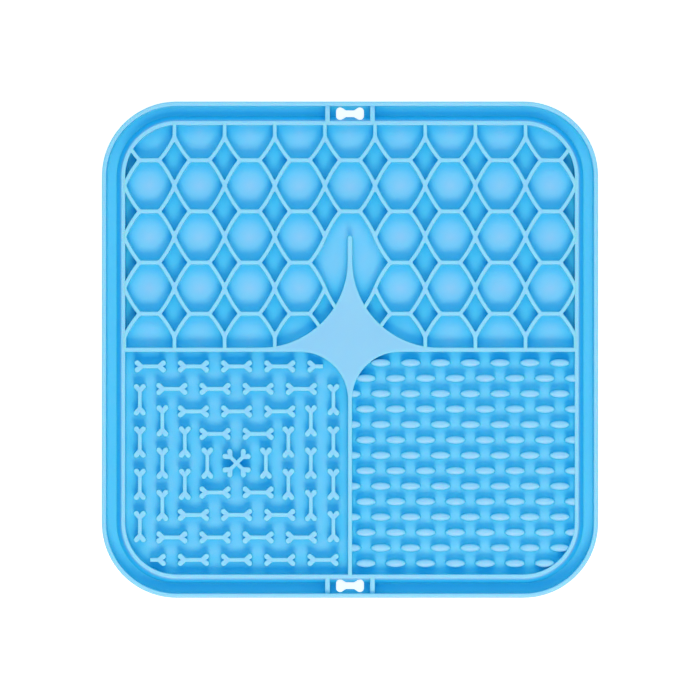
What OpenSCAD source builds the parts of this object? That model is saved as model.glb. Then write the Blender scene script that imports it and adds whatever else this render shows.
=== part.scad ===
// Square silicone lick mat with three licking fields inside an overflow gutter:
// hexagonal pockets above, rings of bone-shaped ribs at the lower left and
// oval studs at the lower right. A four-pointed web stands where they meet.
// +Z is up, and the origin is under the middle, on the face that the cups rest on.

/* [Mat] */
// Width and depth of the mat
mat_w = 150; // [140:1:170]
// Radius of the outer corners
corner_r = 22.6; // [20:0.1:28]
// Thickness of the base sheet
sheet_t = 1.6; // [1:0.1:3]

/* [Rims] */
// Wall of the outer rim
rim_w = 1.3; // [1:0.05:2]
// Height of the outer rim above the base sheet
rim_h = 6; // [5:0.1:9]
// Bevel along the outer rim's outer top edge
rim_bevel = 0.35; // [0.1:0.05:0.5]
// Width of the gutter between the two rims, at the top
gutter_w = 4.5; // [4.2:0.1:6]
// Wall of the inner rim at its top
inner_rim_w = 1.25; // [1:0.05:2]
// How far the inner rim's outer side leans out at its foot
inner_rim_lean = 1.3; // [0.5:0.1:2]
// Height of the inner rim, the dividers and the hexagon ribs above the base sheet
relief_h = 4.5; // [4.2:0.1:5]

/* [Dividers and star] */
// Wall of the dividers between the fields
divider_w = 1.25; // [1:0.05:2]
// Width of the star's spike
spike_w = 1.4; // [1:0.1:2]
// Gap from the spike's tip to the level rib over it
spike_gap = 6.8; // [4:0.1:9]
// Straight part of the spike, beyond the star's upper hollow sides
spike_straight_l = 6.85; // [4:0.05:9]
// Radius of the star's two lower hollow sides
lower_hollow_r = 14.5; // [12:0.1:17]

/* [Hexagon ribs] */
// Cells across the field
cells = 9; // [7:2:11]
// Width of every hexagon rib
rib_w = 1.15; // [0.9:0.05:1.6]
// Length of the level ribs, from corner to corner of a cell
flat_l = 5.9; // [5:0.1:7]
// How far a slanting rib bulges from a straight line
rib_bulge = 0.35; // [0.2:0.05:0.6]
// Length of the stems that reach the inner rim
top_stem_l = 3.5; // [2:0.1:5]
// Length of the stems that reach the dividers
bottom_stem_l = 3.15; // [2:0.1:5]
// How far the outermost crossings lie behind the inner rim's face
rib_bite = 0.3; // [0:0.05:0.6]

/* [Bones] */
// Length of a bone
bone_l = 9.5; // [8:0.1:10]
// Width of a bone over its two lobes
bone_w = 3.7; // [3.2:0.1:4.2]
// Width of a bone's shaft
shaft_w = 1.15; // [0.9:0.05:1.5]
// Radius of a bone's lobes
lobe_r = 0.8; // [0.6:0.05:0.9]
// Depth of the notch between the two lobes of one end
notch_d = 0.95; // [0.6:0.05:1.2]
// Distance from a bone's middle to where its shaft starts to widen
neck_x = 2.3; // [1.8:0.1:2.6]
// Height of the bones above the base sheet
bone_h = 4.2; // [3:0.1:5]
// Distance from the middle of the field to the first ring of bones
first_ring_d = 8.85; // [8.2:0.05:9.5]
// Distance from the last ring to the walls of the field
last_ring_gap = 4.4; // [3.6:0.1:5]
// Distance from the end bones of the last ring's level rows to the walls of the field
bone_end_gap = 2.8; // [2:0.1:4]

/* [Studs] */
// Length of an oval stud
stud_l = 6; // [5:0.1:7]
// Width of an oval stud
stud_w = 2.3; // [1.8:0.1:2.8]
// Height of a stud's crown above the base sheet
stud_h = 4; // [3:0.1:5]
// How much lower a stud's ends are than its crown
stud_crown = 0.6; // [0.3:0.1:1]
// Distance from the middles of the first and last rows to the walls of the field
stud_row_gap = 3.35; // [2.4:0.05:4]
// Distance from the lower divider's middle to the first stud's middle
stud_start = 0.3; // [0:0.1:1]

/* [Hanging tabs] */
// Distance from the mat's middle line to the middle of a tab's side walls
tab_half = 6.8; // [6:0.1:9]
// Width of a tab's side walls
tab_bar_w = 1.45; // [1:0.05:2]
// Length of a tab's bone-shaped hole
hole_l = 8.4; // [7:0.1:9]
// Width of a tab's hole over its lobes
hole_w = 3.85; // [3:0.05:3.95]
// Width of a tab's hole at its waist
hole_waist = 2.05; // [1.6:0.05:2.4]
// Radius of the hole's lobes
hole_lobe_r = 1.2; // [0.9:0.05:1.4]
// Distance from the hole's middle to the end of its waist
hole_neck_x = 1.25; // [1:0.05:1.5]

/* [Suction cups] */
// Suction cups along each side
cups = 7; // [5:1:8]
// Diameter of a cup's lip
cup_d = 12; // [9:0.5:14]
// Height of a cup
cup_h = 2.2; // [1.8:0.1:3]
// Thickness of a cup's lip
cup_lip_t = 0.5; // [0.3:0.1:0.8]
// Width of the flat ring that a cup rests on
cup_seat_w = 0.6; // [0.4:0.1:1]
// Depth of the hollow under a cup
cup_hollow = 1.3; // [0.8:0.1:1.5]
// Diameter of a cup's neck
cup_neck_d = 7; // [5:0.5:8]
// Distance from the mat's edge to the middle of the outermost cups
cup_margin = 13; // [11:0.5:16]

/* [Hidden] */
// Rows of level ribs, rings of bones and rows of studs
flat_rows = 4;
bone_rings = 4;
stud_rows = 14;

// The silicone's colour
silicone = "lightskyblue";
// How far a cutting shape runs past what it cuts, or a joined shape into its neighbour
overrun = 1;
// Facets of small and large rounds
small_fn = 32;
large_fn = 160;

// Levels
floor_z = cup_h + sheet_t;

// Faces of the walls, measured from the middle of the mat
mat_half = mat_w / 2;
gutter_out = mat_half - rim_w;
gutter_in = gutter_out - gutter_w;
field_half = gutter_in - inner_rim_w;
inner_rim_r = corner_r - rim_w - gutter_w;
field_r = inner_rim_r - inner_rim_w;
wall_half = divider_w / 2;

// The lower fields are square, and share one middle distance and one half width
lower_mid = (field_half + wall_half) / 2;
lower_half = (field_half - wall_half) / 2;

// The hexagon lattice
middle_cell = (cells - 1) / 2;
cell_pitch = 2 * (field_half + rib_bite) / cells;
// Height of the half cells at the lattice's top and bottom, as a share of a whole cell
end_share = 0.46;
row_pitch = (field_half - wall_half - top_stem_l - bottom_stem_l) / (flat_rows - 1 + 2 * end_share);
end_drop = end_share * row_pitch;
slant_run = (cell_pitch - flat_l) / 2;
// The level row that gives way to the star's spike in the middle column
spike_row = 2;

// The spike reaches towards the level rib over it, and the star's upper hollows follow the spike
spike_reach = flat_y(spike_row - 1) - rib_w / 2 - spike_gap;
upper_hollow_r = spike_reach - spike_w / 2 - spike_straight_l - wall_half;
// The hollows end where they are level with a divider or the spike
star_side = upper_hollow_r + spike_w / 2;
star_shoulder = upper_hollow_r + wall_half;
star_foot = lower_hollow_r + wall_half;

// The bone rings
ring_pitch = (lower_half - last_ring_gap - first_ring_d) / (bone_rings - 1);
// The last ring's level rows hold one bone more than there are rings
bone_row_pitch = (2 * (lower_half - bone_end_gap) - bone_l) / bone_rings;
// Spacing of the upright rows' bones, as a share of the level rows'
column_share = 0.98;
bone_column_pitch = column_share * bone_row_pitch;

// The stud rows
studs_in_row = 8;
// Every second row is set off by half a stud's pitch, and ends in half a stud at the inner rim
stud_pitch = (field_half - stud_start) / (studs_in_row - 1 / 2);
stud_row_pitch = 2 * (lower_half - stud_row_gap) / (stud_rows - 1);

// The tabs' holes lie in the middle of the gutter
hole_mid = (gutter_in + gutter_out) / 2;

cup_pitch = (mat_w - 2 * cup_margin) / (cups - 1);

function cell_x(column) = (column - middle_cell) * cell_pitch;
function flat_y(row) = field_half - top_stem_l - end_drop - row * row_pitch;
function ring_d(ring) = first_ring_d + ring * ring_pitch;

// Radius of an arc from its chord and the height of its bow
function arc_r(chord, bow) = (chord * chord / 4 + bow * bow) / (2 * bow);

// Height of the slanting ribs that stand on (-1) or hang below (1) a level row
function slant_drop(row, below) = row == (below > 0 ? flat_rows - 1 : 0) ? end_drop : row_pitch / 2;

// Length of a slanting rib's chord, and the angle at which the rib leaves the level rib
function slant_chord(drop) = norm([slant_run, drop]);
function slant_lean(drop) =
    atan2(drop, slant_run) - asin(slant_chord(drop) / 2 / arc_r(slant_chord(drop), rib_bulge));

// Outline of a square with round corners
module round_square(half, r) {
    square([2 * half, 2 * (half - r)], center = true);
    square([2 * (half - r), 2 * half], center = true);
    for (x = [-1, 1], y = [-1, 1])
        translate([x * (half - r), y * (half - r)]) circle(r, $fn = large_fn);
}

// Stretches of a wall that follows a square with round corners: the child is the wall's section,
// with zero on the outer face and the wall to the left of it
module wall_corners(half, r) {
    for (turn = [0 : 90 : 270]) rotate(turn)
        translate([half - r, half - r]) rotate_extrude(angle = 90, $fn = large_fn)
            translate([r, 0]) children();
}

module wall_side(half, from, to) {
    translate([half, to]) rotate([90, 0, 0]) linear_extrude(to - from) children();
}

// Outline of the star, which ends flush with the three dividers
module star_outline() {
    difference() {
        translate([-star_side, -wall_half]) square([2 * star_side, star_shoulder + wall_half]);
        for (side = [-1, 1])
            translate([side * star_side, star_shoulder]) circle(upper_hollow_r, $fn = large_fn);
    }
    difference() {
        translate([-star_foot, -star_foot]) square([2 * star_foot, star_foot]);
        for (side = [-1, 1])
            translate([side * star_foot, -star_foot]) circle(lower_hollow_r, $fn = large_fn);
    }
    translate([-spike_w / 2, star_shoulder - overrun])
        square([spike_w, spike_reach - spike_w / 2 - star_shoulder + overrun]);
    translate([0, spike_reach - spike_w / 2]) circle(spike_w / 2, $fn = small_fn);
}

// Outline of the space inside the inner rim, above the dividers and round the star
module upper_field() {
    difference() {
        intersection() {
            round_square(field_half, field_r);
            translate([-mat_half, wall_half]) square([mat_w, mat_half]);
        }
        star_outline();
    }
}

// Outline of the lower right space, round the star
module stud_field() {
    difference() {
        intersection() {
            round_square(field_half, field_r);
            translate([wall_half, -mat_half]) square([mat_half, mat_half - wall_half]);
        }
        star_outline();
    }
}

// Point where the side of a notch leaves a lobe. Lobes that overlap at the notch's foot have none.
function notch_side(lobe, r, foot) =
    let (away = norm(lobe - foot))
    away <= r ? [] :
    let (slope = atan2(lobe.y, lobe.x - foot.x) - asin(r / away))
    [lobe + r * [sin(slope), -cos(slope)]];

// One end of a bone: two lobes, the neck that widens towards them and the notch between them
module bone_end(length, width, shaft, r, neck, notch) {
    lobe = [length / 2 - r, width / 2 - r];
    start = [neck, shaft / 2];
    foot = [length / 2 - notch, 0];
    reach = norm(lobe - start);
    lean = atan2(lobe.y - start.y, lobe.x - start.x) + asin(r / reach);
    touch = lobe + r * [-sin(lean), cos(lean)];
    side = concat([[0, start.y], start, touch, lobe], notch_side(lobe, r, foot));
    for (end = [-1, 1]) translate([lobe.x, end * lobe.y]) circle(r, $fn = small_fn);
    polygon(concat(side, [foot], [for (i = [len(side) - 1 : -1 : 0]) [side[i].x, -side[i].y]]));
}

module bone_outline() {
    for (side = [0, 1]) mirror([side, 0])
        bone_end(bone_l, bone_w, shaft_w, lobe_r, neck_x, notch_d);
}

// Outline of a tab's hole, whose ends are blunt
module hole_outline() {
    blunt = hole_lobe_r / 2;
    for (side = [0, 1]) mirror([side, 0]) {
        bone_end(hole_l, hole_w, hole_waist, hole_lobe_r, hole_neck_x, hole_lobe_r);
        translate([hole_l / 2 - hole_lobe_r - blunt, hole_lobe_r - hole_w / 2])
            square([hole_lobe_r + blunt, hole_w - 2 * hole_lobe_r]);
    }
}

module hang_holes() {
    for (side = [-1, 1]) translate([0, side * hole_mid]) hole_outline();
}

// Floor
module base_sheet() {
    color(silicone) translate([0, 0, cup_h]) linear_extrude(sheet_t) intersection() {
        round_square(mat_half, corner_r);
        square([mat_w, 2 * field_half], center = true);
    }
}

module base_ends() {
    color(silicone) translate([0, 0, cup_h]) linear_extrude(sheet_t) difference() {
        round_square(mat_half, corner_r);
        square([mat_w + overrun, 2 * field_half], center = true);
        square([2 * tab_half, mat_w + overrun], center = true);
    }
}

module hang_tab(side) {
    color(silicone) translate([0, 0, cup_h]) linear_extrude(sheet_t) difference() {
        translate([-tab_half, side > 0 ? field_half : -mat_half])
            square([2 * tab_half, mat_half - field_half]);
        hang_holes();
    }
}

// Walls of the gutter
module outer_rim_section() {
    polygon([[-rim_w, 0], [0, 0], [0, rim_h - rim_bevel], [-rim_bevel, rim_h], [-rim_w, rim_h]]);
}

module outer_rim_sides() {
    reach = mat_half - corner_r;
    color(silicone) translate([0, 0, floor_z]) for (turn = [0 : 90 : 270]) rotate(turn)
        wall_side(mat_half, -reach, reach) outer_rim_section();
}

module outer_rim_corners() {
    color(silicone) translate([0, 0, floor_z]) wall_corners(mat_half, corner_r) outer_rim_section();
}

module inner_rim_section() {
    polygon([[-inner_rim_w, 0], [inner_rim_lean, 0], [0, relief_h], [-inner_rim_w, relief_h]]);
}

module inner_rim_sides() {
    reach = gutter_in - inner_rim_r;
    color(silicone) translate([0, 0, floor_z]) for (turn = [0, 180]) rotate(turn) {
        wall_side(gutter_in, -reach, reach) inner_rim_section();
        rotate(90) {
            wall_side(gutter_in, -reach, -tab_half) inner_rim_section();
            wall_side(gutter_in, tab_half, reach) inner_rim_section();
        }
    }
}

module inner_rim_corners() {
    color(silicone) translate([0, 0, floor_z]) wall_corners(gutter_in, inner_rim_r) inner_rim_section();
}

// Stretches of the inner rim that the tabs' holes cut into
module tab_back_walls() {
    color(silicone) translate([0, 0, floor_z]) difference() {
        for (turn = [90, 270]) rotate(turn)
            wall_side(gutter_in, -tab_half, tab_half) inner_rim_section();
        translate([0, 0, -overrun]) linear_extrude(relief_h + 2 * overrun) hang_holes();
    }
}

module tab_bars() {
    section = [
        [gutter_in + inner_rim_lean, 0], [gutter_out, 0], [gutter_out, relief_h], [gutter_in, relief_h]
    ];
    color(silicone) translate([0, 0, floor_z]) for (end = [0, 180], x = [-tab_half, tab_half])
        rotate(end) translate([x - tab_bar_w / 2, 0]) rotate([90, 0, 90])
            linear_extrude(tab_bar_w) polygon(section);
}

// Dividers, which stop where the star's hollows take over
module divider(from, to) {
    color(silicone) translate([from, -wall_half, floor_z]) cube([to - from, divider_w, relief_h]);
}

module divider_left() {
    divider(-field_half, -star_side);
}

module divider_right() {
    divider(star_side, field_half);
}

module divider_lower() {
    rotate(-90) divider(star_foot, field_half);
}

module star() {
    color(silicone) translate([0, 0, floor_z]) linear_extrude(relief_h) star_outline();
}

// Hexagon ribs. A cell's corner, at the end of a level rib, is where a slanting rib starts.
// It runs out by slant_run and down by drop, and its two ends are cut where its neighbours meet it.
// Where the neighbour beyond the crossing is missing, it runs on past the crossing's middle.
module slant(drop, past) {
    r = arc_r(slant_chord(drop), rib_bulge);
    inward = [-drop, -slant_run] / slant_chord(drop);
    centre = [slant_run, -drop] / 2 + inward * (r - rib_bulge);
    intersection() {
        translate(centre) difference() {
            circle(r + rib_w / 2, $fn = large_fn);
            circle(r - rib_w / 2, $fn = large_fn);
        }
        polygon([
            [0, 0], [slant_run + past, 0], [slant_run + past, -drop],
            [-drop * tan(slant_lean(drop) / 2), -drop]
        ]);
    }
}

// Whether a slanting rib has the missing ribs of the middle column beyond its crossing
function beside_gap(row, column, side) = row == spike_row && column == middle_cell - side;

// All slanting ribs of one side (-1 left, 1 right) that hang below (1) or stand on (-1) a level row
module slants(side, below) {
    color(silicone) translate([0, 0, floor_z]) linear_extrude(relief_h) intersection() {
        upper_field();
        for (row = [0 : flat_rows - 1], column = [0 : cells - 1])
            if (column != middle_cell || row != spike_row)
                translate([cell_x(column) + side * flat_l / 2, flat_y(row)])
                    mirror([side < 0 ? 1 : 0, 0]) mirror([0, below < 0 ? 1 : 0])
                        slant(slant_drop(row, below), beside_gap(row, column, side) ? rib_w : 0);
    }
}

module hex_upper_left_ribs() {
    slants(-1, 1);
}

module hex_upper_right_ribs() {
    slants(1, 1);
}

module hex_lower_left_ribs() {
    slants(-1, -1);
}

module hex_lower_right_ribs() {
    slants(1, -1);
}

// Level ribs, with pointed ends that fit between the slanting ribs
module flat_rib(row) {
    upper = flat_l / 2 - rib_w / 2 * tan(slant_lean(slant_drop(row, -1)) / 2);
    lower = flat_l / 2 - rib_w / 2 * tan(slant_lean(slant_drop(row, 1)) / 2);
    polygon([
        [flat_l / 2, 0], [upper, rib_w / 2], [-upper, rib_w / 2],
        [-flat_l / 2, 0], [-lower, -rib_w / 2], [lower, -rib_w / 2]
    ]);
}

module hex_flat_ribs(row) {
    color(silicone) translate([0, flat_y(row), floor_z]) linear_extrude(relief_h)
        for (column = [0 : cells - 1])
            if (column != middle_cell || row < spike_row) translate([cell_x(column), 0]) flat_rib(row);
}

// Stems between the lattice's end crossings and the walls
module hex_stems(from, length) {
    color(silicone) translate([0, 0, floor_z]) linear_extrude(relief_h) intersection() {
        upper_field();
        for (column = [0 : cells - 2])
            translate([cell_x(column) + cell_pitch / 2 - rib_w / 2, from]) square([rib_w, length]);
    }
}

module hex_top_stems() {
    hex_stems(flat_y(0) + end_drop, top_stem_l);
}

module hex_bottom_stems() {
    hex_stems(wall_half, bottom_stem_l);
}

// Bones
module crossed_bones() {
    color(silicone) translate([-lower_mid, -lower_mid, floor_z]) linear_extrude(bone_h)
        for (turn = [45, 135]) rotate(turn) bone_outline();
}

// The outermost ring has half a bone in the two corners where a whole one has no room
module half_bone(side) {
    intersection() {
        bone_outline();
        translate([side < 0 ? -bone_l : 0, -bone_l / 2]) square(bone_l);
    }
}

module bone_ring(ring) {
    d = ring_d(ring);
    across = ring + 2;
    up = ring + 1;
    color(silicone) translate([-lower_mid, -lower_mid, floor_z]) linear_extrude(bone_h) {
        for (side = [-1, 1], i = [0 : across - 1]) {
            place = side * (i - (across - 1) / 2) * bone_row_pitch;
            translate([place, side * d])
                if (ring == bone_rings - 1 && i == across - 1) half_bone(-side);
                else bone_outline();
        }
        for (side = [-1, 1], i = [0 : up - 1])
            translate([side * d, (i - (up - 1) / 2) * bone_column_pitch]) rotate(90) bone_outline();
    }
}

// Studs: ovals with a top that is arched from end to end
module stud() {
    r = arc_r(stud_l, stud_crown);
    intersection() {
        linear_extrude(stud_h) scale([stud_l / 2, stud_w / 2]) circle(1, $fn = small_fn);
        translate([0, 0, stud_h - r]) rotate([90, 0, 0])
            cylinder(h = stud_l, r = r, center = true, $fn = large_fn);
    }
}

module stud_row(row) {
    shift = stud_start + (row % 2) * stud_pitch / 2;
    y = -lower_mid + ((stud_rows - 1) / 2 - row) * stud_row_pitch;
    color(silicone) translate([0, 0, floor_z]) intersection() {
        linear_extrude(relief_h) stud_field();
        for (i = [0 : studs_in_row - 1]) translate([shift + i * stud_pitch, y]) stud();
    }
}

// Suction cups
module suction_cup() {
    seat_r = cup_d / 2 - cup_seat_w;
    hollow_r = arc_r(2 * seat_r, cup_hollow);
    difference() {
        rotate_extrude($fn = 2 * small_fn) polygon([
            [0, 0], [cup_d / 2, 0], [cup_d / 2, cup_lip_t], [cup_neck_d / 2, cup_h - cup_lip_t],
            [cup_neck_d / 2, cup_h], [0, cup_h]
        ]);
        translate([0, 0, cup_hollow - hollow_r]) sphere(hollow_r, $fn = 2 * large_fn);
    }
}

module cup_row(row) {
    color(silicone) for (i = [0 : cups - 1])
        translate([cup_margin - mat_half + i * cup_pitch, mat_half - cup_margin - row * cup_pitch])
            suction_cup();
}

base_sheet();
base_ends();
hang_tab(1);  // hang_tab_top
hang_tab(-1);  // hang_tab_bottom
tab_bars();
tab_back_walls();
outer_rim_sides();
outer_rim_corners();
inner_rim_sides();
inner_rim_corners();
divider_left();
divider_right();
divider_lower();
star();
for (i = [1 : flat_rows]) hex_flat_ribs(i - 1);
hex_upper_left_ribs();
hex_upper_right_ribs();
hex_lower_left_ribs();
hex_lower_right_ribs();
hex_top_stems();
hex_bottom_stems();
crossed_bones();
for (i = [1 : bone_rings]) bone_ring(i - 1);
for (i = [1 : stud_rows]) stud_row(i - 1);
for (i = [1 : cups]) cup_row(i - 1);
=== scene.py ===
"""Looks of the silicone lick mat: rounded ribs, rims, bones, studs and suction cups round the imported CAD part."""

import math

import bpy
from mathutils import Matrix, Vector


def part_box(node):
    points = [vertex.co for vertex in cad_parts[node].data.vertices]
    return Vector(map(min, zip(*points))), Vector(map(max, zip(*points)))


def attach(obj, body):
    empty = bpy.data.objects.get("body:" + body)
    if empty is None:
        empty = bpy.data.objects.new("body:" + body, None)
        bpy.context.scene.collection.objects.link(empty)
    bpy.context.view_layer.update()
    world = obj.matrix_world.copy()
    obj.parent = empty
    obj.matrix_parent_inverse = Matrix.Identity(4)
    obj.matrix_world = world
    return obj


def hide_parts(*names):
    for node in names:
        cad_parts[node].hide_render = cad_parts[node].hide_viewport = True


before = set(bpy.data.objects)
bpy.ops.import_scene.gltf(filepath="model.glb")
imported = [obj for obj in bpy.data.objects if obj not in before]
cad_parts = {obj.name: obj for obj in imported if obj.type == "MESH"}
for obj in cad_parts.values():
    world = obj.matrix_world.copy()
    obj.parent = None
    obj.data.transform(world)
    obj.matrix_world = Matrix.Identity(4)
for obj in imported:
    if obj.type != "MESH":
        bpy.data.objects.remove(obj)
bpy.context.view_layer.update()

MM = 0.001

# Levels, read from the CAD part
SHEET_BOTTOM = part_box("base_sheet")[0].z
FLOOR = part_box("base_sheet")[1].z
RELIEF_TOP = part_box("star")[1].z
RIM_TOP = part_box("outer_rim_sides")[1].z
BONE_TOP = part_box("crossed_bones")[1].z
STUD_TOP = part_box("stud_row_5")[1].z

# Walls in plan, as in the CAD part
MAT_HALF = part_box("outer_rim_sides")[1].x
CORNER_R = 22.6 * MM
RIM_W = 1.3 * MM
GUTTER_W = 4.5 * MM
INNER_RIM_W = 1.25 * MM
INNER_RIM_LEAN = 1.3 * MM
WALL_HALF = 0.625 * MM
GUTTER_OUT = MAT_HALF - RIM_W
GUTTER_IN = GUTTER_OUT - GUTTER_W
FIELD_HALF = GUTTER_IN - INNER_RIM_W
FIELD_R = CORNER_R - RIM_W - GUTTER_W - INNER_RIM_W

# Roundings of the moulding, and the facets of each lip, of each foot and of the mat's corners
LIP_R = 0.24 * MM
FOOT_R = 0.25 * MM
LIP_STEPS = 3
FOOT_STEPS = 2
CORNER_STEPS = 24
# How deep each raised form is rooted in the floor
ROOT = 0.4 * MM
# How far a cutting form runs past what it cuts
OVERRUN = 1 * MM
# How near a face's middle comes to a level that it lies at
NEAR_LEVEL = 0.001 * MM
# How near the end of a drawn outline comes to its start
CLOSE = 0.02 * MM


# Modelling by hand: a few moves that the pieces share

def start_point(name, x, y, z):
    """A new piece in edit mode that is one vertex so far."""
    bpy.ops.object.select_all(action="DESELECT")
    bpy.ops.mesh.primitive_plane_add(size=MM)
    piece = bpy.context.object
    piece.name = piece.data.name = name
    bpy.ops.object.mode_set(mode="EDIT")
    bpy.ops.mesh.select_mode(type="VERT")
    bpy.ops.mesh.merge(type="CENTER")
    bpy.ops.transform.translate(value=(x, y, z))
    return piece


def draw_outline(name, moves, z):
    """A face whose border is drawn from point to point. A move is a point, or (centre, turn, steps) for an arc."""
    x, y = moves[0]
    piece = start_point(name, x, y, z)
    for move in moves[1:]:
        if len(move) == 2:
            bpy.ops.mesh.extrude_vertices_move(
                TRANSFORM_OT_translate={"value": (move[0] - x, move[1] - y, 0)})
            x, y = move
        else:
            (cx, cy), turn, steps = move
            bpy.ops.mesh.spin(steps=steps, angle=-turn, center=(cx, cy, z), axis=(0, 0, 1))
            dx, dy = x - cx, y - cy
            x = cx + dx * math.cos(turn) - dy * math.sin(turn)
            y = cy + dx * math.sin(turn) + dy * math.cos(turn)
    bpy.ops.mesh.select_all(action="SELECT")
    bpy.ops.mesh.remove_doubles(threshold=CLOSE)
    bpy.ops.mesh.edge_face_add()
    return piece


def round_corners(piece, spots, offset):
    """Rounds the outline's corners nearest to the spots, before it has any height."""
    bpy.ops.mesh.select_all(action="DESELECT")
    bpy.ops.object.mode_set(mode="OBJECT")
    for x, y in spots:
        nearest = min(piece.data.vertices, key=lambda v: (v.co.x - x) ** 2 + (v.co.y - y) ** 2)
        nearest.select = True
    bpy.ops.object.mode_set(mode="EDIT")
    bpy.ops.mesh.select_mode(type="VERT")
    bpy.ops.mesh.bevel(affect="VERTICES", offset=offset, segments=LIP_STEPS, clamp_overlap=True)
    bpy.ops.mesh.select_all(action="SELECT")


def rise(height):
    """Extrudes the selected top, up or down."""
    bpy.ops.mesh.extrude_region_move(TRANSFORM_OT_translate={"value": (0, 0, height)})


def step_in(steps):
    """Insets the selected top step by step, each step (inward, along its normal)."""
    for inward, along in steps:
        bpy.ops.mesh.inset(thickness=inward, depth=along, use_even_offset=True)


def quarter(r, count, to_vertical):
    """Steps of a quarter round: from level to upright for a foot, or from upright to level for a lip."""
    steps = []
    for i in range(count):
        a, b = (math.pi / 2 * j / count for j in (i, i + 1))
        flat = r * (math.sin(b) - math.sin(a))
        bent = r * (math.cos(a) - math.cos(b))
        steps.append((flat, bent) if to_vertical else (bent, flat))
    return steps


def foot(r=FOOT_R):
    """A foot that flares out on the floor, on the way up."""
    return quarter(r, FOOT_STEPS, True)


def lip(r=LIP_R):
    """A rounded upper edge, on the way up."""
    return quarter(r, LIP_STEPS, False)


def downward(steps):
    """The same steps, taken on the way down."""
    return [(inward, -along) for inward, along in steps]


def face_out():
    """Turns all faces outwards."""
    bpy.ops.mesh.select_all(action="SELECT")
    bpy.ops.mesh.normals_make_consistent(inside=False)


def select_level(piece, z):
    """Turns all faces outwards and selects the level face that lies at a height."""
    face_out()
    bpy.ops.mesh.select_all(action="DESELECT")
    bpy.ops.object.mode_set(mode="OBJECT")
    for face in piece.data.polygons:
        face.select = abs(face.normal.z) > 0.99 and abs(face.center.z - z) < NEAR_LEVEL
    bpy.ops.object.mode_set(mode="EDIT")
    bpy.ops.mesh.select_mode(type="FACE")


def raise_form(piece, top, foot_r=FOOT_R, lip_r=LIP_R, draft=0.0):
    """Raises an outline drawn at FLOOR - ROOT into a form with a flared foot and a rounded top."""
    rise(ROOT)
    select_level(piece, FLOOR)
    step_in(foot(foot_r))
    wall = top - FLOOR - foot_r - lip_r
    if draft:
        step_in([(draft, wall)])
    else:
        rise(wall)
    step_in(lip(lip_r))
    face_out()


def object_mode():
    """Leaves edit mode."""
    bpy.ops.object.mode_set(mode="OBJECT")


def place(piece):
    """Puts the piece's place into its mesh."""
    bpy.ops.object.select_all(action="DESELECT")
    piece.select_set(True)
    bpy.context.view_layer.objects.active = piece
    bpy.ops.object.transform_apply(location=True, rotation=True, scale=True)


def copy_to(piece, x, y, turn=0.0):
    """A copy of the piece with its own mesh, turned about the piece's middle line and moved."""
    bpy.ops.object.select_all(action="DESELECT")
    piece.select_set(True)
    bpy.context.view_layer.objects.active = piece
    bpy.ops.object.duplicate(linked=False)
    made = bpy.context.object
    made.rotation_euler = (0, 0, turn)
    made.location = (x, y, 0)
    place(made)
    return made


def join(name, parts):
    """Joins the parts into one piece."""
    bpy.ops.object.select_all(action="DESELECT")
    for part in parts:
        part.select_set(True)
    bpy.context.view_layer.objects.active = parts[0]
    if len(parts) > 1:
        bpy.ops.object.join()
    made = bpy.context.object
    made.name = made.data.name = name
    return made


def delete(piece):
    """Removes a form that has done its work."""
    bpy.data.objects.remove(piece, do_unlink=True)


def boolean(piece, tool, operation):
    """Cuts the piece with a form, which is then deleted."""
    modifier = piece.modifiers.new("cut", "BOOLEAN")
    modifier.operation = operation
    modifier.solver = "MANIFOLD"
    modifier.object = tool
    bpy.context.view_layer.objects.active = piece
    bpy.ops.object.modifier_apply(modifier=modifier.name)
    delete(tool)


def keep_half(piece, side):
    """Cuts the piece at x = 0 and keeps the half on one side, closed."""
    bpy.ops.object.select_all(action="DESELECT")
    piece.select_set(True)
    bpy.context.view_layer.objects.active = piece
    bpy.ops.object.mode_set(mode="EDIT")
    bpy.ops.mesh.select_all(action="SELECT")
    bpy.ops.mesh.bisect(plane_co=(0, 0, 0), plane_no=(side, 0, 0), use_fill=True, clear_inner=True)
    face_out()
    object_mode()


# The hexagon lattice's sizes, as in the CAD part

CELLS = 9
FLAT_ROWS = 4
# The column and the level row that give way to the star's spike
MIDDLE = 4
SPIKE_ROW = 2
RIB_W = 1.15 * MM
FLAT_L = 5.9 * MM
RIB_BULGE = 0.35 * MM
RIB_BITE = 0.3 * MM
TOP_STEM = 3.5 * MM
BOTTOM_STEM = 3.15 * MM
# Height of the half cells at the top and bottom, as a share of a row's pitch
END_SHARE = 0.46
CELL_PITCH = 2 * (FIELD_HALF + RIB_BITE) / CELLS
ROW_PITCH = (FIELD_HALF - WALL_HALF - TOP_STEM - BOTTOM_STEM) / (FLAT_ROWS - 1 + 2 * END_SHARE)
END_DROP = END_SHARE * ROW_PITCH
MID_DROP = ROW_PITCH / 2
SLANT_RUN = (CELL_PITCH - FLAT_L) / 2
SLANT_STEPS = 5


def cell_x(column):
    """Middle of a column of cells."""
    return (column - MIDDLE) * CELL_PITCH


def flat_y(row):
    """Middle line of a row of level ribs."""
    return FIELD_HALF - TOP_STEM - END_DROP - row * ROW_PITCH


def slant_arc(drop):
    """Centre and radius of a slanting rib's arc, from the origin to a point SLANT_RUN out and drop down."""
    chord = math.hypot(SLANT_RUN, drop)
    r = (chord * chord / 4 + RIB_BULGE * RIB_BULGE) / (2 * RIB_BULGE)
    inward = Vector((-drop, -SLANT_RUN)) / chord
    centre = Vector((SLANT_RUN, -drop)) / 2 + inward * (r - RIB_BULGE)
    return centre, r


def between(centre, a, b, steps):
    """An arc move from point a to point b about a centre, the short way round."""
    turn = math.atan2(b[1] - centre[1], b[0] - centre[0]) - math.atan2(a[1] - centre[1], a[0] - centre[0])
    turn = (turn + math.pi) % (2 * math.pi) - math.pi
    return (tuple(centre), turn, steps)


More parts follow.
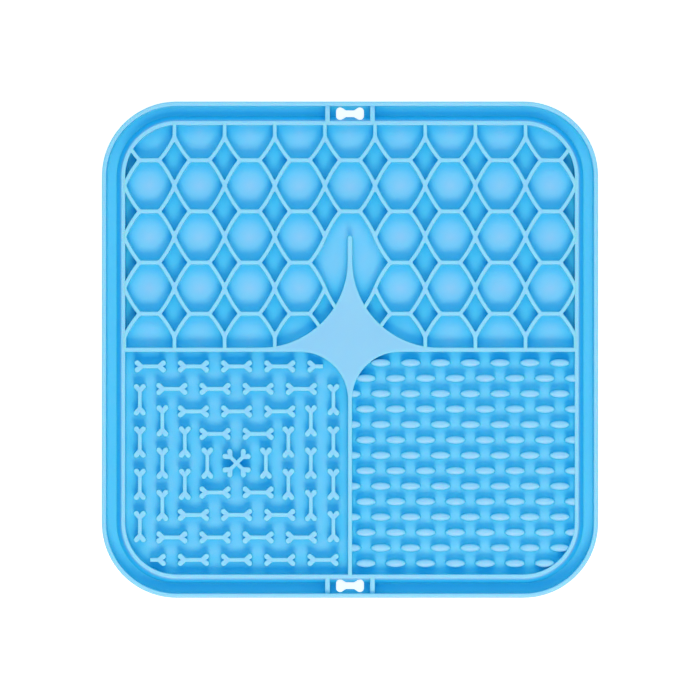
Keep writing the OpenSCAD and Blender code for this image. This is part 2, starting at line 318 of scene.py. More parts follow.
def on_arc_x(centre, r, y):
    """Right-hand x of a circle at a height y."""
    return centre[0] + math.sqrt(r * r - (y - centre[1]) ** 2)


# Pockets: the forms that are sunk between the ribs, each drawn about its own middle

SOFT_CORNER = 0.45 * MM
TIP_CORNER = 1.2 * MM
TIGHT_FOOT_R = 0.12 * MM


def sink_pocket(piece, corners, tips=(), foot_r=FOOT_R):
    """Turns a pocket's outline, drawn at the height OVERRUN over the ribs, into the form that is cut out."""
    round_corners(piece, corners, SOFT_CORNER)
    if tips:
        round_corners(piece, tips, TIP_CORNER)
    rise(-OVERRUN)
    select_level(piece, RELIEF_TOP)
    step_in(quarter(LIP_R, LIP_STEPS, True))
    rise(-(RELIEF_TOP - FLOOR - LIP_R - foot_r))
    step_in(quarter(foot_r, FOOT_STEPS, False))
    rise(-ROOT - OVERRUN)
    face_out()
    object_mode()
    return piece


def hexagon_pocket():
    """A whole cell, with four bowed sides."""
    centre, r = slant_arc(MID_DROP)
    inner = r - RIB_W / 2 + LIP_R
    cx, cy = FLAT_L / 2 + centre.x, MID_DROP + centre.y
    top = MID_DROP - RIB_W / 2 + LIP_R
    side_x = on_arc_x((cx, cy), inner, 0)
    top_x = on_arc_x((cx, cy), inner, top)
    corners = [(side_x, 0), (top_x, top), (-top_x, top), (-side_x, 0), (-top_x, -top), (top_x, -top)]
    moves = [corners[0],
             between((cx, cy), corners[0], corners[1], SLANT_STEPS), corners[2],
             between((-cx, cy), corners[2], corners[3], SLANT_STEPS),
             between((-cx, -cy), corners[3], corners[4], SLANT_STEPS), corners[5],
             between((cx, -cy), corners[5], corners[0], SLANT_STEPS)]
    piece = draw_outline("hexagon_pocket", moves, RELIEF_TOP + OVERRUN)
    return sink_pocket(piece, corners)


def diamond_pocket(up, down):
    """A pocket between two level ribs' ends, with the heights of its upper and lower half."""
    points, centres = {}, {}
    for side, drop in ((1, up), (-1, down)):
        centre, r = slant_arc(drop)
        outer = r + RIB_W / 2 - LIP_R
        cx, cy = SLANT_RUN - centre.x, side * -centre.y
        centres[side] = (cx, cy)
        points[side] = (cx - math.sqrt(outer ** 2 - cy ** 2), cy - side * math.sqrt(outer ** 2 - cx ** 2))
    tips = [(0, points[1][1]), (0, points[-1][1])]
    corners = [(points[1][0], 0), (-points[1][0], 0)]
    # The two halves are nearly as wide as each other, and their ends are merged
    low_ends = [(-points[-1][0], 0), (points[-1][0], 0)]
    (ux, uy), (dx, dy) = centres[1], centres[-1]
    moves = [corners[0],
             between((ux, uy), corners[0], tips[0], SLANT_STEPS),
             between((-ux, uy), tips[0], corners[1], SLANT_STEPS), low_ends[0],
             between((-dx, dy), low_ends[0], tips[1], SLANT_STEPS),
             between((dx, dy), tips[1], low_ends[1], SLANT_STEPS)]
    piece = draw_outline("diamond_pocket", moves, RELIEF_TOP + OVERRUN)
    return sink_pocket(piece, corners, tips, TIGHT_FOOT_R)


def end_pocket():
    """The half cell over the first level row, open towards the wall."""
    centre, r = slant_arc(END_DROP)
    inner = r - RIB_W / 2 + LIP_R
    cx, cy = FLAT_L / 2 + centre.x, -centre.y
    low = RIB_W / 2 - LIP_R
    low_x = on_arc_x((cx, cy), inner, low)
    stem_x = CELL_PITCH / 2 - RIB_W / 2 + LIP_R
    stem_y = cy - math.sqrt(inner ** 2 - (stem_x - cx) ** 2)
    end = END_DROP + TOP_STEM + 2 * OVERRUN
    corners = [(low_x, low), (stem_x, stem_y), (-stem_x, stem_y), (-low_x, low)]
    moves = [corners[0], between((cx, cy), corners[0], corners[1], SLANT_STEPS),
             (stem_x, end), (-stem_x, end), corners[2],
             between((-cx, cy), corners[2], corners[3], SLANT_STEPS)]
    piece = draw_outline("end_pocket", moves, RELIEF_TOP + OVERRUN)
    return sink_pocket(piece, corners)


def spike_pocket():
    """The large pocket round the star's spike, about the level row that gives way to it."""
    centre, r = slant_arc(MID_DROP)
    inner, outer = r - RIB_W / 2 + LIP_R, r + RIB_W / 2 - LIP_R
    hx, hy = FLAT_L / 2 + centre.x, ROW_PITCH + centre.y
    dx, dy = CELL_PITCH / 2 + SLANT_RUN - centre.x, -centre.y
    top = ROW_PITCH - RIB_W / 2 + LIP_R
    top_x = on_arc_x((hx, hy), inner, top)
    mid_x = on_arc_x((hx, hy), inner, MID_DROP)
    side_x = dx - math.sqrt(outer ** 2 - dy ** 2)
    end = -ROW_PITCH - BOTTOM_STEM
    corners = [(side_x, 0), (top_x, top), (-top_x, top), (-side_x, 0)]
    moves = [corners[0],
             between((dx, dy), corners[0], (mid_x, MID_DROP), SLANT_STEPS),
             between((hx, hy), (mid_x, MID_DROP), corners[1], SLANT_STEPS),
             corners[2],
             between((-hx, hy), corners[2], (-mid_x, MID_DROP), SLANT_STEPS),
             between((-dx, dy), (-mid_x, MID_DROP), corners[3], SLANT_STEPS),
             between((-dx, -dy), corners[3], (-mid_x, -MID_DROP), SLANT_STEPS),
             between((-hx, -hy), (-mid_x, -MID_DROP), (-top_x, -top), SLANT_STEPS),
             (-top_x, end), (top_x, end), (top_x, -top),
             between((hx, -hy), (top_x, -top), (mid_x, -MID_DROP), SLANT_STEPS),
             between((dx, -dy), (mid_x, -MID_DROP), corners[0], SLANT_STEPS)]
    piece = draw_outline("spike_pocket", moves, RELIEF_TOP + OVERRUN)
    return sink_pocket(piece, corners)


# Star and dividers

SPIKE_HALF = 0.7 * MM
SPIKE_STRAIGHT_L = 6.85 * MM
SPIKE_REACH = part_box("star")[1].y
UPPER_R = SPIKE_REACH - SPIKE_HALF - SPIKE_STRAIGHT_L - WALL_HALF
LOWER_R = 14.5 * MM
HOLLOW_STEPS = 28
TIP_STEPS = 8


def star_moves(grow, end):
    """Outline of the star and the dividers, grown all round; the dividers end at a distance."""
    wall, spike = WALL_HALF + grow, SPIKE_HALF + grow
    side, shoulder, down = UPPER_R + SPIKE_HALF, UPPER_R + WALL_HALF, LOWER_R + WALL_HALF
    tip = SPIKE_REACH - SPIKE_HALF
    bend = -math.pi / 2
    return [(end, -wall), (end, wall), (side, wall), ((side, shoulder), bend, HOLLOW_STEPS),
            (spike, tip), ((0, tip), math.pi, TIP_STEPS),
            (-spike, shoulder), ((-side, shoulder), bend, HOLLOW_STEPS),
            (-end, wall), (-end, -wall), (-down, -wall), ((-down, -down), bend, HOLLOW_STEPS),
            (-wall, -end), (wall, -end), (wall, -down), ((down, -down), bend, HOLLOW_STEPS)]


def make_star():
    """The star with its spike, and the three dividers that run from it to the inner wall."""
    star = draw_outline("star_and_dividers", star_moves(FOOT_R, FIELD_HALF + 2 * LIP_R + FOOT_R), FLOOR - ROOT)
    raise_form(star, RELIEF_TOP)
    object_mode()
    return star


# Lattice

def make_lattice():
    """A plate between the walls, with the pockets cut out of it."""
    edge, low = FIELD_HALF + LIP_R, WALL_HALF - LIP_R
    r = FIELD_R + LIP_R
    bottom = FLOOR - ROOT
    lattice = draw_outline("hexagon_ribs", [
        (-edge, low), (edge, low), (edge, edge - r), ((edge - r, edge - r), math.pi / 2, CORNER_STEPS),
        (r - edge, edge), ((r - edge, edge - r), math.pi / 2, CORNER_STEPS)], bottom)
    rise(RELIEF_TOP - bottom)
    face_out()
    object_mode()

    core = draw_outline("star_core", star_moves(-LIP_R, FIELD_HALF + 2 * OVERRUN), bottom - OVERRUN)
    rise(RELIEF_TOP - bottom + 2 * OVERRUN)
    face_out()
    object_mode()
    boolean(lattice, core, "DIFFERENCE")

    hexagon, end = hexagon_pocket(), end_pocket()
    middle_diamond, top_diamond, low_diamond = (
        diamond_pocket(*drops) for drops in ((MID_DROP, MID_DROP), (END_DROP, MID_DROP), (MID_DROP, END_DROP)))
    masters = [hexagon, end, middle_diamond, top_diamond, low_diamond]
    pockets = []
    for row in range(FLAT_ROWS - 1):
        y = (flat_y(row) + flat_y(row + 1)) / 2
        pockets += [copy_to(hexagon, cell_x(column), y) for column in range(CELLS)
                    if column != MIDDLE or row < SPIKE_ROW - 1]
    for column in range(CELLS):
        pockets.append(copy_to(end, cell_x(column), flat_y(0)))
        if column != MIDDLE:
            pockets.append(copy_to(end, cell_x(column), flat_y(FLAT_ROWS - 1), math.pi))
    for row in range(FLAT_ROWS):
        diamond = top_diamond if row == 0 else low_diamond if row == FLAT_ROWS - 1 else middle_diamond
        pockets += [copy_to(diamond, cell_x(line) - CELL_PITCH / 2, flat_y(row)) for line in range(CELLS + 1)
                    if row != SPIKE_ROW or line not in (MIDDLE, MIDDLE + 1)]
    spike = spike_pocket()
    pockets.append(copy_to(spike, 0, flat_y(SPIKE_ROW)))
    for master in masters + [spike]:
        delete(master)
    boolean(lattice, join("pockets", pockets), "DIFFERENCE")
    return lattice


# Floor and walls

RIM_LIP_R = 0.45 * MM
BOTTOM_EDGE_R = 0.4 * MM
RIM_INNER_LIP_R = 0.25 * MM


def square_moves(half, r):
    """Outline of a square with round corners."""
    flat, turn = half - r, math.pi / 2
    return [(half, -flat), (half, flat), ((flat, flat), turn, CORNER_STEPS),
            (-flat, half), ((-flat, flat), turn, CORNER_STEPS),
            (-half, -flat), ((-flat, -flat), turn, CORNER_STEPS),
            (flat, -half), ((flat, -flat), turn, CORNER_STEPS)]


def select_caps(piece, z=None):
    """Selects the faces with many corners that close a form, or the one of them at a height."""
    bpy.ops.mesh.select_all(action="DESELECT")
    bpy.ops.object.mode_set(mode="OBJECT")
    for face in piece.data.polygons:
        face.select = len(face.vertices) > 4 and (z is None or abs(face.center.z - z) < NEAR_LEVEL)
    bpy.ops.object.mode_set(mode="EDIT")
    bpy.ops.mesh.select_mode(type="FACE")


def open_middle(piece, flat, lip_r, top, bottom):
    """Takes the selected top inwards and down the wall's inner side, and makes the form a ring."""
    step_in([(flat, 0)])
    step_in(downward(quarter(lip_r, LIP_STEPS, True)))
    rise(-(top - lip_r - FLOOR - FOOT_R))
    step_in(downward(quarter(FOOT_R, FOOT_STEPS, False)))
    rise(-(FLOOR - bottom))
    select_caps(piece)
    bpy.ops.mesh.delete(type="ONLY_FACE")
    bpy.ops.mesh.select_mode(type="EDGE")
    bpy.ops.mesh.select_non_manifold()
    bpy.ops.mesh.bridge_edge_loops()
    face_out()
    object_mode()


def make_outer_wall():
    """The outer rim, from the mat's lower edge up."""
    wall = draw_outline("outer_wall", square_moves(MAT_HALF, CORNER_R), SHEET_BOTTOM + BOTTOM_EDGE_R)
    rise(RIM_TOP - RIM_LIP_R - SHEET_BOTTOM - BOTTOM_EDGE_R)
    face_out()
    select_caps(wall, SHEET_BOTTOM + BOTTOM_EDGE_R)
    step_in(quarter(BOTTOM_EDGE_R, LIP_STEPS, False))
    select_caps(wall, RIM_TOP - RIM_LIP_R)
    step_in(lip(RIM_LIP_R))
    open_middle(wall, RIM_W - RIM_LIP_R - RIM_INNER_LIP_R, RIM_INNER_LIP_R, RIM_TOP, SHEET_BOTTOM)
    return wall


def make_inner_wall():
    """The inner rim with its sloped outer side, cut back at the tabs' holes."""
    spread = INNER_RIM_LEAN + FOOT_R
    wall = draw_outline("inner_wall", square_moves(GUTTER_IN + spread, FIELD_R + INNER_RIM_W + spread),
                        FLOOR - ROOT)
    rise(ROOT)
    select_level(wall, FLOOR)
    step_in(foot())
    step_in([(INNER_RIM_LEAN, RELIEF_TOP - FLOOR - FOOT_R - LIP_R)])
    step_in(lip())
    open_middle(wall, INNER_RIM_W - 2 * LIP_R, LIP_R, RELIEF_TOP, FLOOR - ROOT)
    for side in (-1, 1):
        boolean(wall, hole_form(side, 0), "DIFFERENCE")
    return wall


def make_floor():
    """The sheet, with the two tabs' holes."""
    edge = FOOT_R - CLOSE
    sheet = draw_outline("mat_floor", square_moves(GUTTER_OUT - edge, CORNER_R - RIM_W - edge), SHEET_BOTTOM)
    rise(FLOOR - SHEET_BOTTOM)
    face_out()
    object_mode()
    for side in (-1, 1):
        boolean(sheet, hole_form(side, HOLE_LIP_R), "DIFFERENCE")
    return sheet


# Bones, and the tabs' holes, which are bones with blunt ends

LOBE_STEPS = 8
BONE_L, BONE_W, SHAFT_W = 9.5 * MM, 3.7 * MM, 1.15 * MM
LOBE_R, NECK_X, NOTCH_D = 0.8 * MM, 2.3 * MM, 0.95 * MM
BONE_LIP_R = 0.2 * MM
BONE_FOOT_R = 0.2 * MM
HOLE_L, HOLE_W, HOLE_WAIST = 8.4 * MM, 3.85 * MM, 2.05 * MM
HOLE_LOBE_R, HOLE_NECK_X = 1.2 * MM, 1.25 * MM
HOLE_LIP_R = 0.25 * MM
HOLE_MID = (GUTTER_IN + GUTTER_OUT) / 2


def bone_moves(length, width, shaft, lobe_r, neck, notch, grow):
    """Outline of a bone, grown all round. Without a notch its ends are blunt."""
    lobe, start = Vector((length / 2 - lobe_r, width / 2 - lobe_r)), Vector((neck, shaft / 2))
    r, half = lobe_r + grow, shaft / 2 + grow
    gap = lobe - start
    lean = math.atan2(gap.y, gap.x) + math.asin(lobe_r / gap.length)
    touch = lobe + r * Vector((-math.sin(lean), math.cos(lean)))
    bend, end = math.pi / 2 + lean, [(lobe.x + r, lobe.y)]
    if notch:
        gap = lobe - Vector((length / 2 - notch, 0))
        slope = math.atan2(gap.y, gap.x) - math.asin(lobe_r / gap.length)
        side = lobe + r * Vector((math.sin(slope), -math.cos(slope)))
        bend += math.pi / 2 - slope
        end = [(side.x - side.y / math.tan(slope), 0), tuple(side)]
    right = [(touch.x - (touch.y - half) / math.tan(lean), -half), (touch.x, -touch.y),
             ((lobe.x, -lobe.y), bend, LOBE_STEPS)] + end + [
             (tuple(lobe), bend, LOBE_STEPS), (touch.x - (touch.y - half) / math.tan(lean), half)]
    left = [((-move[0][0], -move[0][1]),) + move[1:] if len(move) == 3 else (-move[0], -move[1])
            for move in right]
    return right + left


def hole_form(side, lip_r):
    """What is cut out for a tab's hole, with a rounded edge where the floor's top face is."""
    form = draw_outline("hole_form", bone_moves(HOLE_L, HOLE_W, HOLE_WAIST, HOLE_LOBE_R, HOLE_NECK_X, 0, lip_r),
                        RIM_TOP + OVERRUN)
    rise(FLOOR - RIM_TOP - OVERRUN)
    select_level(form, FLOOR)
    if lip_r:
        step_in(quarter(lip_r, LIP_STEPS, True))
    rise(SHEET_BOTTOM - OVERRUN - FLOOR + lip_r)
    face_out()
    object_mode()
    form.location.y = side * HOLE_MID
    place(form)
    return form


def model_bone():
    """One bone in the middle of the mat, from which the others are copied."""
    bone = draw_outline("bone", bone_moves(BONE_L, BONE_W, SHAFT_W, LOBE_R, NECK_X, NOTCH_D, BONE_FOOT_R),
                        FLOOR - ROOT)
    raise_form(bone, BONE_TOP, BONE_FOOT_R, BONE_LIP_R)
    object_mode()
    return bone


RINGS = 4
LOWER_MID = (FIELD_HALF + WALL_HALF) / 2
LOWER_HALF = (FIELD_HALF - WALL_HALF) / 2
FIRST_RING_D = 8.85 * MM
LAST_RING_GAP = 4.4 * MM
BONE_END_GAP = 2.8 * MM
RING_PITCH = (LOWER_HALF - LAST_RING_GAP - FIRST_RING_D) / (RINGS - 1)
BONE_ROW_PITCH = (2 * (LOWER_HALF - BONE_END_GAP) - BONE_L) / RINGS
COLUMN_SHARE = 0.98
BONE_COLUMN_PITCH = COLUMN_SHARE * BONE_ROW_PITCH


def make_crossed_bones(bone):
    """The two bones in the middle of the field."""
    cross = copy_to(bone, -LOWER_MID, -LOWER_MID, math.pi / 4)
    boolean(cross, copy_to(bone, -LOWER_MID, -LOWER_MID, 3 * math.pi / 4), "UNION")
    return join("bones_crossed", [cross])


def make_bone_ring(bone, ring):
    """Level rows over and under, upright rows beside; the last ring ends in half a bone in two corners."""
    away, across, up = FIRST_RING_D + ring * RING_PITCH, ring + 2, ring + 1
    bones = []
    for side in (-1, 1):
        for i in range(across):
            along = side * (i - (across - 1) / 2) * BONE_ROW_PITCH
            source = bone
            if ring == RINGS - 1 and i == across - 1:
                source = copy_to(bone, 0, 0)
                keep_half(source, -side)
            bones.append(copy_to(source, along - LOWER_MID, side * away - LOWER_MID))
            if source is not bone:
                delete(source)
        for i in range(up):
            along = (i - (up - 1) / 2) * BONE_COLUMN_PITCH
            bones.append(copy_to(bone, side * away - LOWER_MID, along - LOWER_MID, math.pi / 2))
    return join(f"bones_ring_{ring + 1}", bones)


# Bars beside the tabs, from wall to wall

TAB_HALF = 6.8 * MM
TAB_BAR_W = 1.45 * MM


def make_tab_walls():
    """The four bars."""
    start, end = GUTTER_IN - 2 * LIP_R - FOOT_R, GUTTER_OUT + RIM_W / 2
    half = TAB_BAR_W / 2 + FOOT_R
    bar = draw_outline("tab_wall", [(half, start), (half, end), (-half, end), (-half, start)], FLOOR - ROOT)
    raise_form(bar, RELIEF_TOP)
    object_mode()
    bars = [copy_to(bar, side * TAB_HALF, 0, turn) for side in (-1, 1) for turn in (0, math.pi)]
    delete(bar)
    return join("tab_walls", bars)


# Studs

STUD_ROWS = 14
STUDS_IN_ROW = 8
STUD_L = 6 * MM
STUD_W = 2.3 * MM
STUD_START = 0.3 * MM
STUD_ROW_GAP = 3.35 * MM
STUD_PITCH = (FIELD_HALF - STUD_START) / (STUDS_IN_ROW - 1 / 2)
STUD_ROW_PITCH = 2 * (LOWER_HALF - STUD_ROW_GAP) / (STUD_ROWS - 1)
STUD_SIDES = 16
STUD_FOOT_R = 0.22 * MM
# Height of the domed top, and the angles at which its rings lie
CROWN = 0.65 * MM
CROWN_RINGS = (28, 54, 76)
# How far the studs at the edge run into the wall beside them
BITE = 0.4 * MM


def model_stud():
    """An oval with a flared foot, upright sides and a domed top."""
    bpy.ops.object.select_all(action="DESELECT")
    bpy.ops.mesh.primitive_circle_add(vertices=STUD_SIDES, radius=1, fill_type="NGON",
                                      location=(0, 0, FLOOR - ROOT))
    stud = bpy.context.object
    half_l, half_w = STUD_L / 2, STUD_W / 2
    stud.scale = (half_l + STUD_FOOT_R, half_w + STUD_FOOT_R, 1)
    place(stud)
    bpy.ops.object.mode_set(mode="EDIT")
    bpy.ops.mesh.select_mode(type="FACE")
    bpy.ops.mesh.select_all(action="SELECT")
    rise(ROOT)
    rise(STUD_FOOT_R)
    bpy.ops.transform.resize(value=(half_l / (half_l + STUD_FOOT_R), half_w / (half_w + STUD_FOOT_R), 1))
    rise(STUD_TOP - FLOOR - STUD_FOOT_R - CROWN)
    before = 0.0
    for angle in map(math.radians, CROWN_RINGS):
        rise(CROWN * (math.sin(angle) - math.sin(before)))
        shrink = math.cos(angle) / math.cos(before)
        bpy.ops.transform.resize(value=(shrink, shrink, 1))
        before = angle
    rise(CROWN * (1 - math.sin(before)))
    bpy.ops.mesh.merge(type="CENTER")
    face_out()
    object_mode()
    return stud


def stud_field_form():
    """The space of the lower right field, grown into the walls round it."""
    wall, edge, down = WALL_HALF - BITE, FIELD_HALF + BITE, LOWER_R + WALL_HALF
    r, turn = FIELD_R + BITE, -math.pi / 2
    form = draw_outline("stud_field", [
        (wall, -down), ((down, -down), turn, HOLLOW_STEPS), (edge, -wall), (edge, r - edge),
        ((edge - r, r - edge), turn, CORNER_STEPS), (wall, -edge)], FLOOR - OVERRUN)
    rise(RELIEF_TOP - FLOOR + 2 * OVERRUN)
    face_out()
    object_mode()
    return form


def make_stud_row(stud, field, row):
    """A row of studs, cut off at the walls; every second row is set off by half a pitch."""
    shift = STUD_START + (row % 2) * STUD_PITCH / 2
    y = -LOWER_MID + ((STUD_ROWS - 1) / 2 - row) * STUD_ROW_PITCH
    studs = join(f"studs_row_{row + 1}", [copy_to(stud, shift + i * STUD_PITCH, y) for i in range(STUDS_IN_ROW)])
    boolean(studs, copy_to(field, 0, 0), "INTERSECT")
    return studs


# Suction cups

CUP_ROWS = 7
CUP_SIDES = 32
# Half of a cup's section in millimetres: hollow seat, rounded rim, flared neck
CUP_SECTION = (
    (0, 1.3), (1.4, 1.21), (2.7, 0.96), (3.9, 0.57), (4.8, 0.2), (5.3, 0.03), (5.55, 0), (5.85, 0.08),
    (6, 0.3), (5.85, 0.52), (5.2, 0.76), (4.4, 1.14), (3.85, 1.55), (3.6, 1.95), (3.55, 2.3), (0, 2.3))
CUP_R = max(r for r, _ in CUP_SECTION) * MM


def model_cup():
    """A cup turned from its section."""
    (x, z), *rest = ((r * MM, height * MM) for r, height in CUP_SECTION)
    cup = start_point("cup", x, 0, z)
    for next_x, next_z in rest:
        bpy.ops.mesh.extrude_vertices_move(TRANSFORM_OT_translate={"value": (next_x - x, 0, next_z - z)})
        x, z = next_x, next_z
    bpy.ops.mesh.select_all(action="SELECT")
    bpy.ops.mesh.spin(steps=CUP_SIDES, angle=2 * math.pi, center=(0, 0, 0), axis=(0, 0, 1))
    bpy.ops.mesh.select_all(action="SELECT")
    bpy.ops.mesh.remove_doubles(threshold=CLOSE)
    face_out()
    object_mode()
    return cup


def make_cup_row(cup, row):
    """A row of cups, where the CAD part has them."""
    low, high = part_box(f"cup_row_{row + 1}")
    y, first, last = (low.y + high.y) / 2, low.x + CUP_R, high.x - CUP_R
    count = CUP_ROWS - 1
    cups = [copy_to(cup, first + i * (last - first) / count, y) for i in range(CUP_ROWS)]
    return join(f"cups_row_{row + 1}", cups)


# Finish

# Colours of the silicone: in the open, where a faint cloud goes from one to the other; the painted shade low down
# in a narrow place; and the painted highlight at a thin edge
CLOUD_BLUES = ((0.255, 0.59, 0.91, 1), (0.275, 0.62, 0.94, 1))
# Painted shade: the deeper blue given low down in narrow places
SHADE_PAINT_BLUE = (0.02, 0.63, 1.0, 1)
# Painted highlight: the paler blue given at thin edges
HIGHLIGHT_PAINT_BLUE = (0.26, 0.76, 0.99, 1)
# Finenesses of the cloud, of the haze in the sheen and of the grain
CLOUD_SCALE, HAZE_SCALE, GRAIN_SCALE = 45, 260, 3200
# Walls within this distance make a place narrow, and it gets the full painted shade where at most this share of its
# sky is free
NARROW = 7 * MM
LEAST_OPEN = 0.38
# Heights over the floor between which the painted shade fades out
FADE_START, FADE_END = 2.4 * MM, 4 * MM
# An edge is thin, and gets the painted highlight, when its other side lies within this distance
THIN = 1.2 * MM
REACH_SAMPLES = 4
# Roughness of the sheen, from its clearest to its haziest places, and depth of the grain
SHEEN_RANGE = (0.38, 0.5)
GRAIN_DEPTH = 0.02 * MM


def noise(nodes, links, where, scale, detail):
    """A noise in the object's own space."""
    made = nodes.new("ShaderNodeTexNoise")
    made.inputs["Scale"].default_value = scale
    made.inputs["Detail"].default_value = detail
    links.new(where.outputs["Object"], made.inputs["Vector"])
    return made.outputs["Fac"]


def reach(nodes, distance, inside=False):
    """How free the space over the surface is, or how thick the form is under it, within a distance."""
    made = nodes.new("ShaderNodeAmbientOcclusion")
    made.samples = REACH_SAMPLES
    made.inside = made.only_local = inside
    made.inputs["Distance"].default_value = distance
    return made.outputs["AO"]


def map_range(nodes, links, value, ends):
    """A value mapped from one range to another; the ends that aren't 0 or 1 are given by their names."""
    made = nodes.new("ShaderNodeMapRange")
    for end, number in ends.items():
        made.inputs[end].default_value = number
    links.new(value, made.inputs["Value"])
    return made


def blend_colors(nodes, links, factor, first, second):
    """Mixes two colours, of which each is a fixed one or comes from another node."""
    mix = nodes.new("ShaderNodeMix")
    mix.data_type = "RGBA"
    for socket, color in ((mix.inputs[6], first), (mix.inputs[7], second)):
        if isinstance(color, tuple):
            socket.default_value = color
        else:
            links.new(color, socket)
    links.new(factor, mix.inputs[0])
    return mix.outputs[2]


def larger(nodes, links, first, second):
    """The larger of two values."""
    made = nodes.new("ShaderNodeMath")
    made.operation = "MAXIMUM"
    links.new(first, made.inputs[0])
    links.new(second, made.inputs[1])
    return made.outputs["Value"]


def silicone():
    """Soft matt silicone: even blue, with a painted shade of deeper blue low down in narrow places and a painted
    highlight of paler blue at thin edges, fine grain.
    """
    material = bpy.data.materials.new("blue_silicone")
    material.use_nodes = True
    nodes, links = material.node_tree.nodes, material.node_tree.links
    shader = nodes["Principled BSDF"]
    where = nodes.new("ShaderNodeTexCoord")

    cloud = nodes.new("ShaderNodeValToRGB")
    for stop, position, color in zip(cloud.color_ramp.elements, (0.3, 0.7), CLOUD_BLUES):
        stop.position, stop.color = position, color
    links.new(noise(nodes, links, where, CLOUD_SCALE, 4), cloud.inputs["Fac"])

    # Painted shade: where the place is narrow and low down, the colour goes to the deep blue
    openness = map_range(nodes, links, reach(nodes, NARROW), {"From Min": LEAST_OPEN})
    height = nodes.new("ShaderNodeSeparateXYZ")
    links.new(where.outputs["Object"], height.inputs["Vector"])
    raised = map_range(nodes, links, height.outputs["Z"],
                       {"From Min": FLOOR + FADE_START, "From Max": FLOOR + FADE_END})
    raised.interpolation_type = "SMOOTHSTEP"
    free = larger(nodes, links, raised.outputs["Result"], openness.outputs["Result"])

    # Painted highlight: where the form is thin, the colour goes to the pale blue
    with_painted_highlight = blend_colors(nodes, links, reach(nodes, THIN, inside=True), HIGHLIGHT_PAINT_BLUE, cloud.outputs["Color"])
    links.new(blend_colors(nodes, links, free, SHADE_PAINT_BLUE, with_painted_highlight), shader.inputs["Base Color"])

    haze = noise(nodes, links, where, HAZE_SCALE, 5)
    sheen = map_range(nodes, links, haze, {"To Min": SHEEN_RANGE[0], "To Max": SHEEN_RANGE[1]})
    links.new(sheen.outputs["Result"], shader.inputs["Roughness"])

    grain = nodes.new("ShaderNodeBump")
    grain.inputs["Strength"].default_value = 0.25
    grain.inputs["Distance"].default_value = GRAIN_DEPTH
    links.new(noise(nodes, links, where, GRAIN_SCALE, 2), grain.inputs["Height"])
    links.new(grain.outputs["Normal"], shader.inputs["Normal"])

    shader.inputs["IOR"].default_value = 1.45
    shader.inputs["Specular IOR Level"].default_value = 0.35
    shader.inputs["Subsurface Weight"].default_value = 0.4
    shader.inputs["Subsurface Radius"].default_value = (0.1, 0.6, 1.0)
    shader.inputs["Subsurface Scale"].default_value = 1 * MM
    return material


# Edges that bend by less than this are shaded smooth
SMOOTH_BELOW = math.radians(50)
rubber = silicone()


def finish_piece(piece, *nodes, domed=False):
    """Smooth shading that leaves flat faces flat, the material, and the CAD nodes that the piece stands for."""
    bpy.ops.object.select_all(action="DESELECT")
    piece.select_set(True)
    bpy.context.view_layer.objects.active = piece
    bpy.ops.object.shade_smooth_by_angle(angle=SMOOTH_BELOW)
    if not domed:
        even = piece.modifiers.new("even", "WEIGHTED_NORMAL")
        even.keep_sharp = True
        bpy.ops.object.modifier_apply(modifier=even.name)
    piece.data.materials.clear()
    piece.data.materials.append(rubber)
    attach(piece, "root")
    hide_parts(*nodes)


finish_piece(make_floor(), "base_sheet", "base_ends", "hang_tab_top", "hang_tab_bottom")
finish_piece(make_outer_wall(), "outer_rim_sides", "outer_rim_corners")
finish_piece(make_inner_wall(), "inner_rim_sides", "inner_rim_corners", "tab_back_walls")
finish_piece(make_tab_walls(), "tab_bars")
finish_piece(make_star(), "star", "divider_left", "divider_right", "divider_lower")
finish_piece(make_lattice(), "hex_upper_left_ribs", "hex_upper_right_ribs", "hex_lower_left_ribs",
             "hex_lower_right_ribs", "hex_top_stems", "hex_bottom_stems",
             *[f"hex_flat_ribs_{row + 1}" for row in range(FLAT_ROWS)])

bone = model_bone()
finish_piece(make_crossed_bones(bone), "crossed_bones")
for ring in range(RINGS):
    finish_piece(make_bone_ring(bone, ring), f"bone_ring_{ring + 1}")
delete(bone)

stud, field = model_stud(), stud_field_form()
for row in range(STUD_ROWS):
    finish_piece(make_stud_row(stud, field, row), f"stud_row_{row + 1}", domed=True)
delete(stud)
delete(field)

cup = model_cup()
for row in range(CUP_ROWS):
    finish_piece(make_cup_row(cup, row), f"cup_row_{row + 1}", domed=True)
delete(cup)


# Table, light and camera

# The soft light from all round is cool and the lamps are warm, and together they are white
SKY = (0.12, 0.62, 0.75, 1)
LAMP = (1.0, 0.48, 0.28)
WHITE = (1.0, 1.0, 1.0, 1)
# The table as it is seen glows, and the grey under the glow keeps the mat's shadow; to the light it is plain
TABLE_SIZE = 6
TABLE_GLOW = 0.87
TABLE_SEEN = (0.5, 0.5, 0.5, 1)
TABLE_PLAIN = (0.8, 0.8, 0.8, 1)
# The camera's lens and sensor, the width of its view at the outer rim's height, and its place
LENS = 500
SENSOR = 36
VIEW_WIDTH = 211.5 * MM
VIEW_Y = -0.09 * MM


def rays_that_see(nodes, links):
    """1 for what is seen, straight or by way of a shiny or clear surface, and 0 for light that falls on things."""
    ray = nodes.new("ShaderNodeLightPath")
    seen = ray.outputs["Is Camera Ray"]
    for kind in ("Is Glossy Ray", "Is Transmission Ray"):
        seen = larger(nodes, links, seen, ray.outputs[kind])
    return seen


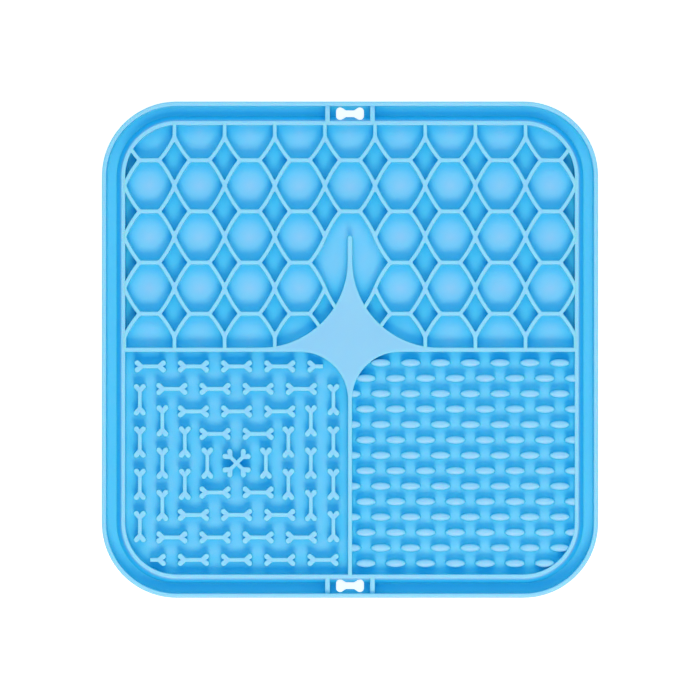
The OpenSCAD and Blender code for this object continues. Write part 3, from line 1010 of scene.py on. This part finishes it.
def make_table():
    """A white table top that keeps the mat's shadow."""
    bpy.ops.object.select_all(action="DESELECT")
    bpy.ops.mesh.primitive_plane_add(size=TABLE_SIZE)
    table = bpy.context.object
    table.name = table.data.name = "table"
    material = bpy.data.materials.new("white_table")
    material.use_nodes = True
    nodes, links = material.node_tree.nodes, material.node_tree.links
    plain, out = nodes["Principled BSDF"], nodes["Material Output"]
    plain.inputs["Base Color"].default_value = TABLE_PLAIN
    plain.inputs["Roughness"].default_value = 0.9
    seen, glow, both, choice = (nodes.new(kind) for kind in (
        "ShaderNodeBsdfDiffuse", "ShaderNodeEmission", "ShaderNodeAddShader", "ShaderNodeMixShader"))
    seen.inputs["Color"].default_value = TABLE_SEEN
    glow.inputs["Strength"].default_value = TABLE_GLOW
    links.new(seen.outputs["BSDF"], both.inputs[0])
    links.new(glow.outputs["Emission"], both.inputs[1])
    links.new(rays_that_see(nodes, links), choice.inputs["Fac"])
    links.new(plain.outputs["BSDF"], choice.inputs[1])
    links.new(both.outputs["Shader"], choice.inputs[2])
    links.new(choice.outputs["Shader"], out.inputs["Surface"])
    table.data.materials.append(material)


def make_world():
    """Light from all round, in front of a white background."""
    world = bpy.data.worlds.new("studio")
    world.use_nodes = True
    nodes, links = world.node_tree.nodes, world.node_tree.links
    tint = blend_colors(nodes, links, rays_that_see(nodes, links), SKY, WHITE)
    links.new(tint, nodes["Background"].inputs["Color"])
    bpy.context.scene.world = world


def panel_light(name, location, size_x, size_y, power):
    """A soft rectangular lamp that points at the mat."""
    data = bpy.data.lights.new(name, "AREA")
    data.color = LAMP
    data.shape = "RECTANGLE"
    data.size, data.size_y, data.energy = size_x, size_y, power
    lamp = bpy.data.objects.new(name, data)
    lamp.location = location
    lamp.rotation_euler = (-Vector(location)).to_track_quat("-Z", "Y").to_euler()
    lamp.visible_camera = False
    bpy.context.collection.objects.link(lamp)


def make_camera():
    """A long lens that looks straight down."""
    data = bpy.data.cameras.new("camera")
    data.lens, data.sensor_width = LENS, SENSOR
    data.clip_end = 20
    camera = bpy.data.objects.new("camera", data)
    camera.location = (0, VIEW_Y, RIM_TOP + VIEW_WIDTH * LENS / SENSOR)
    bpy.context.collection.objects.link(camera)
    bpy.context.scene.camera = camera


make_table()
make_world()
panel_light("front_panel", (0.05, -0.67, 0.935), 0.45, 0.4, 11.6)
panel_light("back_panel", (0, 0.63, 0.965), 0.6, 0.45, 4.2)
make_camera()
bpy.context.scene.view_settings.view_transform = "Standard"
